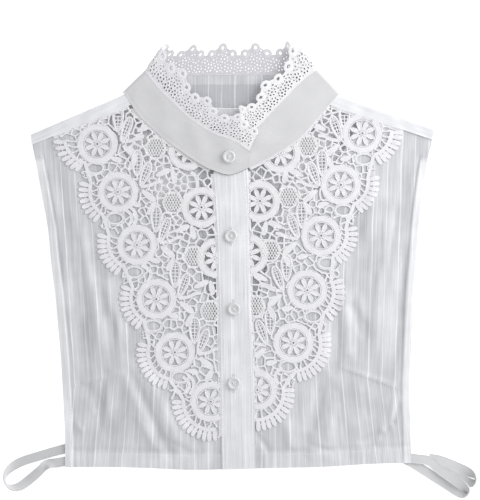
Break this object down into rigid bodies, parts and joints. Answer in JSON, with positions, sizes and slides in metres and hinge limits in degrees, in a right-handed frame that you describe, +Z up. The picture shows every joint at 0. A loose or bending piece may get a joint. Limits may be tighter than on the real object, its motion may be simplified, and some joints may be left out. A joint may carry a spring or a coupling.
{
  "type": "detachable collar",
  "caption": "Sleeveless false blouse front laid flat, with a lace-edged stand collar, scalloped lace bibs, a button placket and an elastic loop at each side of the hem.",
  "frame": {"origin": "middle of the bounding box's underside, on the surface that the garment lies on", "axes": "+Z up from the surface, +Y from the hem to the neck, +X to the right as seen from above"},
  "size_m": [0.3992, 0.3852, 0.0101],
  "materials": {
    "striped_cotton": "thin white cotton with woven stripes along its length",
    "plain_cotton": "smooth plain white cotton, interfaced",
    "lace": "white corded cotton lace",
    "button": "milky translucent plastic",
    "elastic": "white flat braided elastic, slightly ribbed"
  },
  "bodies": {
    "root": {"back_panel": "striped_cotton", "front_left": "striped_cotton", "front_right": "striped_cotton", "shoulder_strip_left": "striped_cotton", "shoulder_strip_right": "striped_cotton", "placket": "striped_cotton", "collar_band": "plain_cotton", "collar_lace": "lace", "lace_bib_left": "lace", "lace_bib_right": "lace", "button_collar": "button", "button_1": "button", "button_2": "button", "button_3": "button", "elastic_left": "elastic", "elastic_right": "elastic", "elastic_right_lobe": "elastic"}
  },
  "joints": []
}
